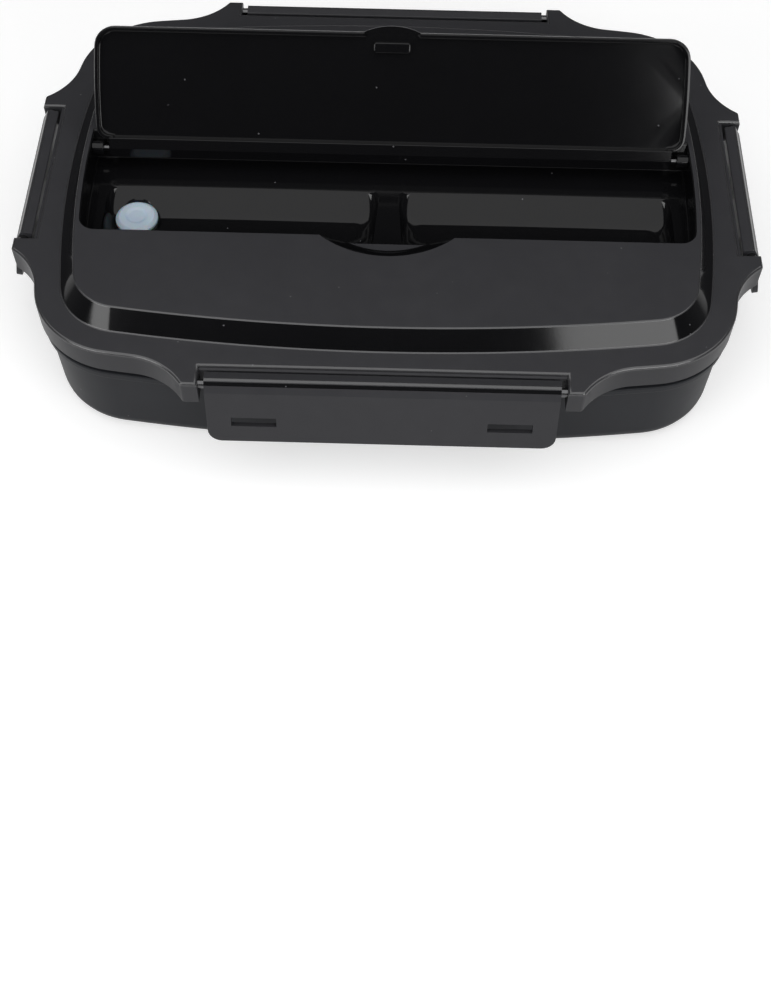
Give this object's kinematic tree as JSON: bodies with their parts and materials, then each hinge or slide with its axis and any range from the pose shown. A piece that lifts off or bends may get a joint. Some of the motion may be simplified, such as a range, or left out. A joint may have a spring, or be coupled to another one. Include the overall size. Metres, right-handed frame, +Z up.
{
  "type": "bento lunch box",
  "caption": "Flat lunch box with a pressed steel tray in a plastic tub, and a latched lid with a cutlery well under a hinged flap.",
  "frame": {"origin": "on the table, under the middle of the box", "axes": "+X along the length, -Y the front, +Z up"},
  "size_m": [0.2974, 0.2202, 0.0939],
  "materials": {
    "tub_plastic": "satin black moulded plastic",
    "lid_plastic": "black moulded plastic, satin rim with a glossy plateau and well",
    "flap_plastic": "glossy black moulded plastic",
    "latch_plastic": "satin black moulded plastic",
    "tray_steel": "pressed stainless sheet with a satin polish",
    "pin_steel": "plain drawn steel rod",
    "gasket_silicone": "grey silicone rubber",
    "plug_silicone": "translucent bluish white silicone rubber"
  },
  "bodies": {
    "tub": {"base_tub": "tub_plastic"},
    "tray": {"steel_tray": "tray_steel"},
    "lid": {"lid_shell": "lid_plastic", "lid_gasket": "gasket_silicone", "flap_pin_left": "pin_steel", "flap_pin_right": "pin_steel", "front_latch_pin_left": "pin_steel", "front_latch_pin_right": "pin_steel", "rear_latch_pin_left": "pin_steel", "rear_latch_pin_right": "pin_steel", "left_latch_pin_front": "pin_steel", "left_latch_pin_rear": "pin_steel", "right_latch_pin_front": "pin_steel", "right_latch_pin_rear": "pin_steel"},
    "flap": {"cutlery_flap": "flap_plastic"},
    "front_latch": {"latch_front": "latch_plastic"},
    "rear_latch": {"latch_rear": "latch_plastic"},
    "left_latch": {"latch_left": "latch_plastic"},
    "right_latch": {"latch_right": "latch_plastic"},
    "plug": {"vent_plug": "plug_silicone"}
  },
  "joints": [
    {"name": "tray_lift", "type": "slide", "parent": "tub", "child": "tray", "axis": [0, 0, 1], "range_m": [0, 0.1]},
    {"name": "lid_lift", "type": "slide", "parent": "tray", "child": "lid", "axis": [0, 0, 1], "range_m": [0, 0.15]},
    {"name": "flap_hinge", "type": "hinge", "parent": "lid", "child": "flap", "pos_m": [0, 0.009, 0.0547], "axis": [-1, 0, 0], "range_deg": [-124, 0]},
    {"name": "front_latch_hinge", "type": "hinge", "parent": "lid", "child": "front_latch", "pos_m": [0, -0.1019, 0.0478], "axis": [-1, 0, 0], "range_deg": [-12, 100]},
    {"name": "rear_latch_hinge", "type": "hinge", "parent": "lid", "child": "rear_latch", "pos_m": [0, 0.1019, 0.0478], "axis": [1, 0, 0], "range_deg": [-12, 100]},
    {"name": "left_latch_hinge", "type": "hinge", "parent": "lid", "child": "left_latch", "pos_m": [-0.1405, 0, 0.0478], "axis": [0, 1, 0], "range_deg": [-12, 100]},
    {"name": "right_latch_hinge", "type": "hinge", "parent": "lid", "child": "right_latch", "pos_m": [0.1405, 0, 0.0478], "axis": [0, -1, 0], "range_deg": [-12, 100]},
    {"name": "plug_lift", "type": "slide", "parent": "lid", "child": "plug", "axis": [0, 0, 1], "range_m": [0, 0.004]}
  ]
}
